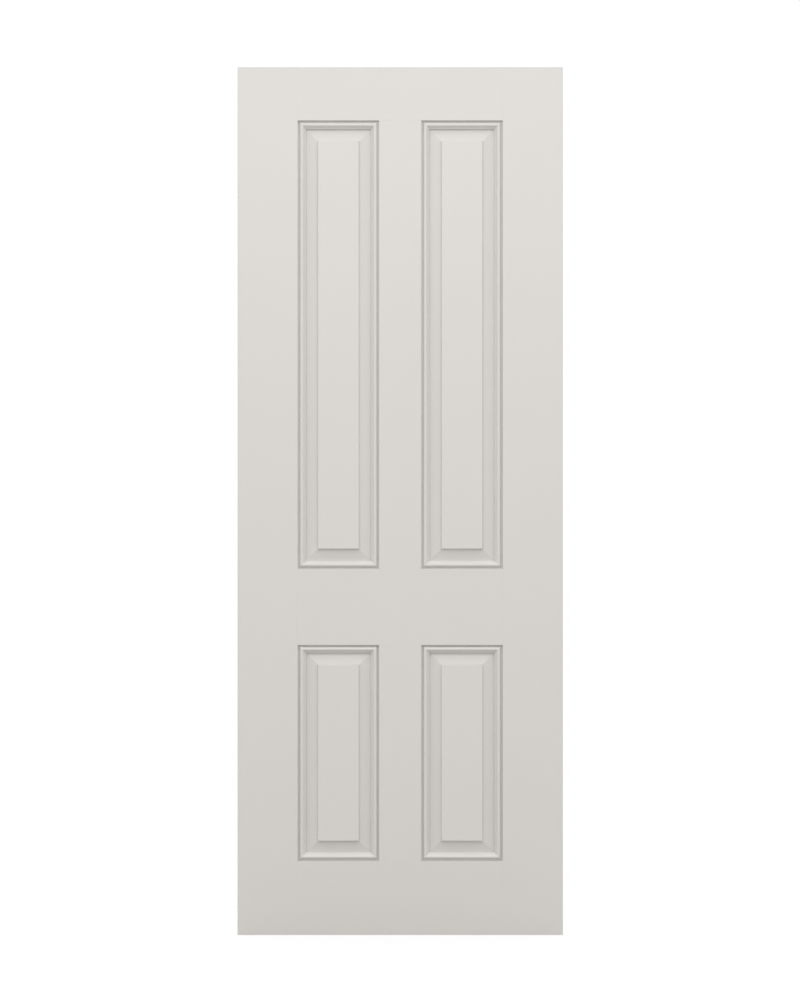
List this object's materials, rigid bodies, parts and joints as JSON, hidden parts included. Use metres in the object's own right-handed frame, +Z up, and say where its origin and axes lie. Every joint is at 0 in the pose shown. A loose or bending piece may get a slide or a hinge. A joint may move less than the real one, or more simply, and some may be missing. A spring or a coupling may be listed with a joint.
{
  "type": "panelled front door",
  "caption": "Tall painted timber door leaf: stiles, rails and muntins round raised and fielded panels, each framed by a mitred quirk-ogee moulding on both faces.",
  "frame": {"origin": "middle of the leaf's bottom edge", "axes": "+Z up the leaf, -Y out of its outer face, +X towards the lock edge as seen from outside"},
  "size_m": [0.762, 0.044, 2.032],
  "materials": {
    "painted_timber": "satin paint, warm off-white",
    "wedge_timber": "painted over where the wedge ends show",
    "pin_steel": "bright wire"
  },
  "bodies": {
    "root": {"hinge_stile": "painted_timber", "lock_stile": "painted_timber", "top_rail": "painted_timber", "lock_rail": "painted_timber", "bottom_rail": "painted_timber", "upper_muntin": "painted_timber", "lower_muntin": "painted_timber", "upper_left_panel": "painted_timber", "upper_right_panel": "painted_timber", "lower_left_panel": "painted_timber", "lower_right_panel": "painted_timber", "moulding_outer_upper_left_top": "painted_timber", "moulding_outer_upper_left_bottom": "painted_timber", "moulding_outer_upper_left_left": "painted_timber", "moulding_outer_upper_left_right": "painted_timber", "moulding_outer_upper_right_top": "painted_timber", "moulding_outer_upper_right_bottom": "painted_timber", "moulding_outer_upper_right_left": "painted_timber", "moulding_outer_upper_right_right": "painted_timber", "moulding_outer_lower_left_top": "painted_timber", "moulding_outer_lower_left_bottom": "painted_timber", "moulding_outer_lower_left_left": "painted_timber", "moulding_outer_lower_left_right": "painted_timber", "moulding_outer_lower_right_top": "painted_timber", "moulding_outer_lower_right_bottom": "painted_timber", "moulding_outer_lower_right_left": "painted_timber", "moulding_outer_lower_right_right": "painted_timber", "moulding_inner_upper_left_top": "painted_timber", "moulding_inner_upper_left_bottom": "painted_timber", "moulding_inner_upper_left_left": "painted_timber", "moulding_inner_upper_left_right": "painted_timber", "moulding_inner_upper_right_top": "painted_timber", "moulding_inner_upper_right_bottom": "painted_timber", "moulding_inner_upper_right_left": "painted_timber", "moulding_inner_upper_right_right": "painted_timber", "moulding_inner_lower_left_top": "painted_timber", "moulding_inner_lower_left_bottom": "painted_timber", "moulding_inner_lower_left_left": "painted_timber", "moulding_inner_lower_left_right": "painted_timber", "moulding_inner_lower_right_top": "painted_timber", "moulding_inner_lower_right_bottom": "painted_timber", "moulding_inner_lower_right_left": "painted_timber", "moulding_inner_lower_right_right": "painted_timber", "hinge_stile_wedges": "wedge_timber", "lock_stile_wedges": "wedge_timber", "outer_moulding_pins": "pin_steel", "inner_moulding_pins": "pin_steel"}
  },
  "joints": []
}
